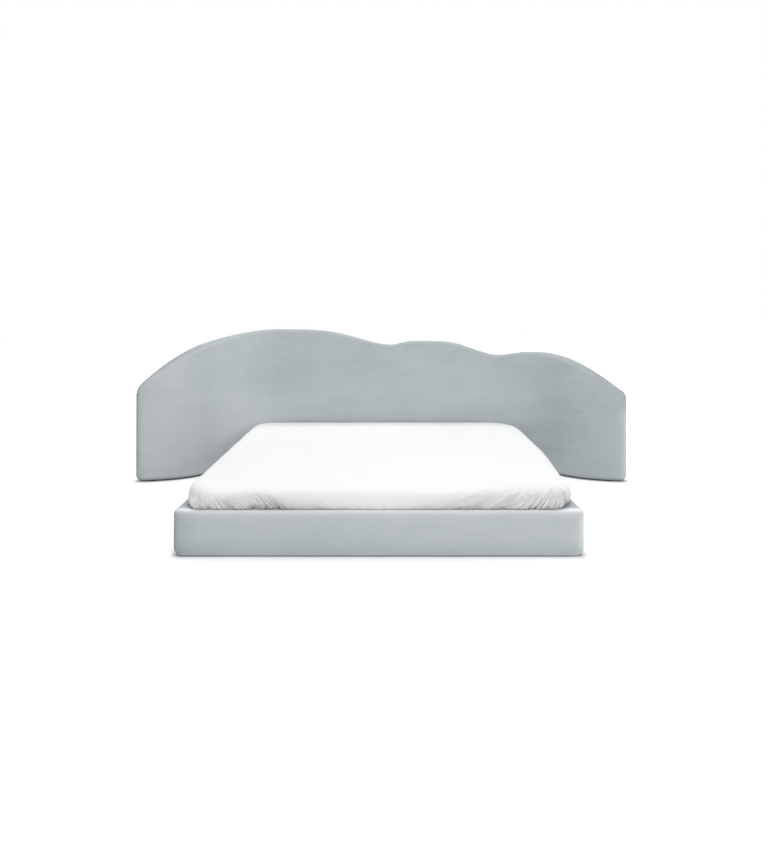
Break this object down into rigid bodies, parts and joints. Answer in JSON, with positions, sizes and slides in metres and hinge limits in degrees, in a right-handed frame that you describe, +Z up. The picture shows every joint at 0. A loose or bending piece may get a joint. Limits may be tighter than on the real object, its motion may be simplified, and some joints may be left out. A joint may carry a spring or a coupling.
{
  "type": "kids bed",
  "caption": "Low upholstered platform bed with a mattress in a fitted sheet and a wide padded headboard whose cloud-shaped crest sweeps forward in two wings.",
  "frame": {"origin": "on the floor under the middle of the whole bed", "axes": "+X to the right as seen from the foot, +Y towards the headboard, +Z up"},
  "size_m": [3.044, 2.197, 0.93],
  "materials": {
    "velvet": "pale blue-grey velvet with a soft nap",
    "padding": "upholstery foam",
    "plywood": "bare birch plywood",
    "timber": "planed pine",
    "slat_wood": "laminated beech slats",
    "steel": "zinc plated",
    "plastic": "moulded black",
    "ticking": "woven mattress ticking",
    "linen": "white cotton sheet"
  },
  "bodies": {
    "bed_frame": {"headboard_front_cover": "velvet", "headboard_back_cover": "velvet", "headboard_pad": "padding", "headboard_rim_pad": "padding", "headboard_front_skin": "plywood", "headboard_back_skin": "plywood", "headboard_posts": "timber", "headboard_sole": "plywood", "headboard_ribs": "plywood", "headboard_glides": "plastic", "headboard_packers": "timber", "headboard_bolts": "steel", "foot_rail_cover": "velvet", "foot_rail_pad": "padding", "foot_rail_core": "plywood", "left_rail_cover": "velvet", "left_rail_pad": "padding", "left_rail_core": "plywood", "right_rail_cover": "velvet", "right_rail_pad": "padding", "right_rail_core": "plywood", "head_rail": "timber", "corner_brackets": "steel", "bracket_bolts": "steel", "rail_glides": "plastic", "left_ledge": "timber", "right_ledge": "timber", "centre_beam": "timber", "beam_shoes": "steel", "centre_legs": "timber", "leg_glides": "plastic"},
    "slat_base": {"slat_bars": "timber", "slat_end_bars": "timber", "left_slats": "slat_wood", "right_slats": "slat_wood", "slat_holders": "plastic"},
    "mattress_body": {"mattress": "ticking", "fitted_sheet": "linen"}
  },
  "joints": [
    {"name": "slat_base_lift", "type": "slide", "parent": "bed_frame", "child": "slat_base", "axis": [0, 0, 1], "range_m": [0, 0.35]},
    {"name": "mattress_lift", "type": "slide", "parent": "slat_base", "child": "mattress_body", "axis": [0, 0, 1], "range_m": [0, 0.45]}
  ]
}
